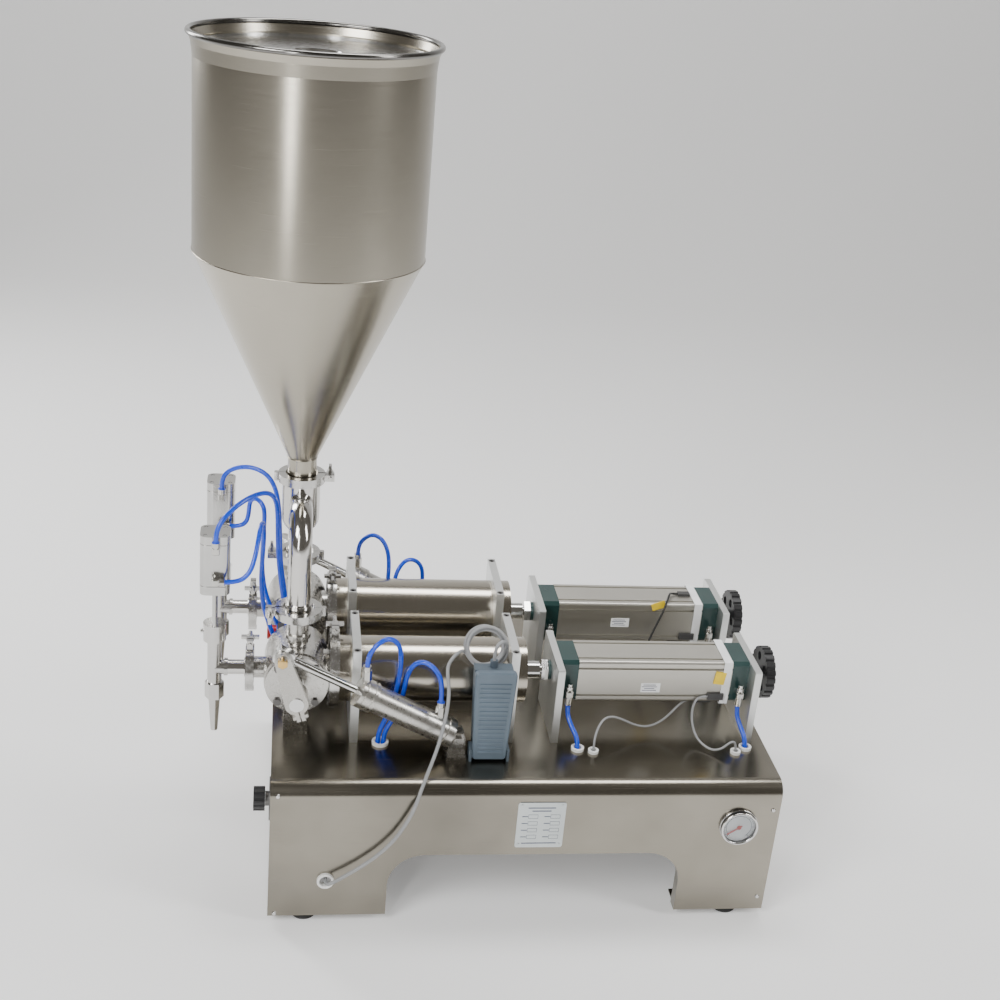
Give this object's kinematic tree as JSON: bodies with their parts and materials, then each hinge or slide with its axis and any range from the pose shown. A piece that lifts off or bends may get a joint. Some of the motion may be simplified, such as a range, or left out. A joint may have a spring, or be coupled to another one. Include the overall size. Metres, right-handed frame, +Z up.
{
  "type": "two-head piston liquid filler",
  "caption": "Tabletop pneumatic piston filler: conical hopper over rotary valves, horizontal material cylinders with adjustable stroke, drip-proof nozzles and a foot switch",
  "frame": {"origin": "bottom centre of the machine on the floor, under its rubber feet, measured without the cords", "axes": "+X runs along the machine from the nozzles to the stroke hand wheels, +Y from the side with the gauge and nameplate to the other, +Z up"},
  "size_m": [1.025, 0.638, 1.385],
  "materials": {
    "base_steel": "satin brushed stainless sheet",
    "rubber": "matt black rubber",
    "white_plastic": "matt white plastic",
    "nameplate": null,
    "black_plastic": "black moulded plastic",
    "red_plastic": "glossy red plastic",
    "dark_metal": "blackened steel",
    "plate_aluminium": "milled aluminium plate",
    "profile_aluminium": "satin anodised extrusion",
    "green_paint": "dark green semi-gloss paint",
    "polished_steel": "machined stainless steel",
    "clamp_steel": "polished cast stainless steel",
    "pipe_steel": "polished sanitary tube",
    "hopper_steel": "satin rolled stainless sheet",
    "lid_steel": "satin stainless sheet",
    "pedal_grey": "blue-grey plastic",
    "pedal_ribbed": "blue-grey ribbed plastic",
    "fitting_metal": "nickel-plated brass",
    "switch_plastic": "black plastic",
    "tube_steel": "satin stainless cylinder",
    "tube_aluminium": "satin anodised aluminium",
    "nozzle_steel": "polished stainless steel",
    "nozzle_aluminium": "satin anodised aluminium",
    "rod_steel": "hard-chromed rod",
    "crank_steel": "satin stainless bar",
    "blue_tube": "blue polyurethane tube",
    "grey_cable": "grey PVC cable",
    "black_cable": "black PVC cable"
  },
  "bodies": {
    "machine": {"base_cover": "base_steel", "feet": "rubber", "grommets": "white_plastic", "nameplate": "nameplate", "gauge_case": "black_plastic", "air_controls": "dark_metal", "solenoid_bank": "profile_aluminium", "cylinder_saddles": "plate_aluminium", "machine_screws": "dark_metal", "air_plates": "plate_aluminium", "air_end_caps": "green_paint", "valve_covers": "polished_steel", "valve_mounts": "polished_steel", "sanitary_clamps": "clamp_steel", "manifold": "pipe_steel", "hopper": "hopper_steel", "pedal_base": "pedal_grey", "tube_fittings": "fitting_metal", "reed_switches": "switch_plastic", "material_cylinders": "tube_steel", "air_barrels": "profile_aluminium", "valve_bodies": "polished_steel", "valve_cylinders": "tube_aluminium", "outlet_pipes": "pipe_steel", "nozzle_bodies": "nozzle_steel", "nozzle_tips": "nozzle_steel", "nozzle_cylinders": "nozzle_aluminium", "valve_tube_front_a": "blue_tube", "valve_tube_rear_a": "blue_tube", "nozzle_tube_upper_a": "blue_tube", "valve_tube_front_b": "blue_tube", "valve_tube_rear_b": "blue_tube", "nozzle_tube_upper_b": "blue_tube", "nozzle_tube_lower_a": "blue_tube", "air_tube_front_a": "blue_tube", "air_tube_rear_a": "blue_tube", "nozzle_tube_lower_b": "blue_tube", "switch_lead_rear": "grey_cable", "switch_lead_front": "grey_cable", "black_lead": "black_cable", "pedal_lead_top": "grey_cable", "pedal_lead_coil": "grey_cable", "pedal_lead_drop": "grey_cable"},
    "gauge_needle": {"gauge_needle": "red_plastic"},
    "regulator_knob": {"regulator_knob": "black_plastic"},
    "shutoff_knob": {"shutoff_knob": "red_plastic"},
    "hopper_lid": {"hopper_lid": "lid_steel"},
    "pedal_treadle": {"pedal_treadle": "pedal_ribbed"},
    "piston_a": {"piston_a": "rod_steel"},
    "hand_wheel_a": {"hand_wheel_a": "black_plastic"},
    "valve_turning_a": {"valve_rotor_a": "rod_steel", "valve_crank_a": "crank_steel"},
    "valve_rod_a": {"valve_rod_a": "rod_steel"},
    "nozzle_plunger_a": {"nozzle_plunger_a": "rod_steel"},
    "piston_b": {"piston_b": "rod_steel"},
    "hand_wheel_b": {"hand_wheel_b": "black_plastic"},
    "valve_turning_b": {"valve_rotor_b": "rod_steel", "valve_crank_b": "crank_steel"},
    "valve_rod_b": {"valve_rod_b": "rod_steel"},
    "nozzle_plunger_b": {"nozzle_plunger_b": "rod_steel"}
  },
  "joints": [
    {"name": "piston_slide_a", "type": "slide", "parent": "machine", "child": "piston_a", "axis": [-1, 0, 0], "range_m": [0, 0.22]},
    {"name": "valve_turn_a", "type": "hinge", "parent": "machine", "child": "valve_turning_a", "pos_m": [-0.3215, -0.106, 0.372], "axis": [0, 1, 0], "range_deg": [0, 90]},
    {"name": "valve_rod_slide_a", "type": "slide", "parent": "machine", "child": "valve_rod_a", "axis": [0.8886, 0, -0.4587], "range_m": [0, 0.1168]},
    {"name": "hand_wheel_spin_a", "type": "hinge", "parent": "machine", "child": "hand_wheel_a", "pos_m": [0.4955, -0.106, 0.372], "axis": [1, 0, 0], "continuous": true},
    {"name": "nozzle_plunger_slide_a", "type": "slide", "parent": "machine", "child": "nozzle_plunger_a", "axis": [0, 0, 1], "range_m": [0, 0.025]},
    {"name": "piston_slide_b", "type": "slide", "parent": "machine", "child": "piston_b", "axis": [-1, 0, 0], "range_m": [0, 0.22]},
    {"name": "valve_turn_b", "type": "hinge", "parent": "machine", "child": "valve_turning_b", "pos_m": [-0.3215, 0.106, 0.372], "axis": [0, 1, 0], "range_deg": [0, 90]},
    {"name": "valve_rod_slide_b", "type": "slide", "parent": "machine", "child": "valve_rod_b", "axis": [0.8886, 0, -0.4587], "range_m": [0, 0.1168]},
    {"name": "hand_wheel_spin_b", "type": "hinge", "parent": "machine", "child": "hand_wheel_b", "pos_m": [0.4955, 0.106, 0.372], "axis": [1, 0, 0], "continuous": true},
    {"name": "nozzle_plunger_slide_b", "type": "slide", "parent": "machine", "child": "nozzle_plunger_b", "axis": [0, 0, 1], "range_m": [0, 0.025]},
    {"name": "hopper_lid_lift", "type": "slide", "parent": "machine", "child": "hopper_lid", "axis": [0, 0, 1], "range_m": [0, 0.06]},
    {"name": "pedal_press", "type": "hinge", "parent": "machine", "child": "pedal_treadle", "pos_m": [-0.0015, -0.2305, 0.282], "axis": [-1, 0, 0], "range_deg": [0, 5], "stiffness_Nm_per_rad": 0.6, "springref_deg": -8.02},
    {"name": "regulator_turn", "type": "hinge", "parent": "machine", "child": "regulator_knob", "pos_m": [-0.3775, -0.268, 0.222], "axis": [1, 0, 0], "range_deg": [-150, 150]},
    {"name": "shutoff_turn", "type": "hinge", "parent": "machine", "child": "shutoff_knob", "pos_m": [-0.3645, 0, 0.38], "axis": [1, 0, 0], "range_deg": [0, 90]},
    {"name": "gauge_needle_turn", "type": "hinge", "parent": "machine", "child": "gauge_needle", "pos_m": [0.4225, -0.3105, 0.189], "axis": [0, 1, 0], "range_deg": [0, 250]}
  ],
  "couplings": [
    {"joint": "valve_rod_slide_a", "follows": "valve_turn_a", "m_per_rad": 0.07435},
    {"joint": "valve_rod_slide_b", "follows": "valve_turn_b", "m_per_rad": 0.07435}
  ]
}
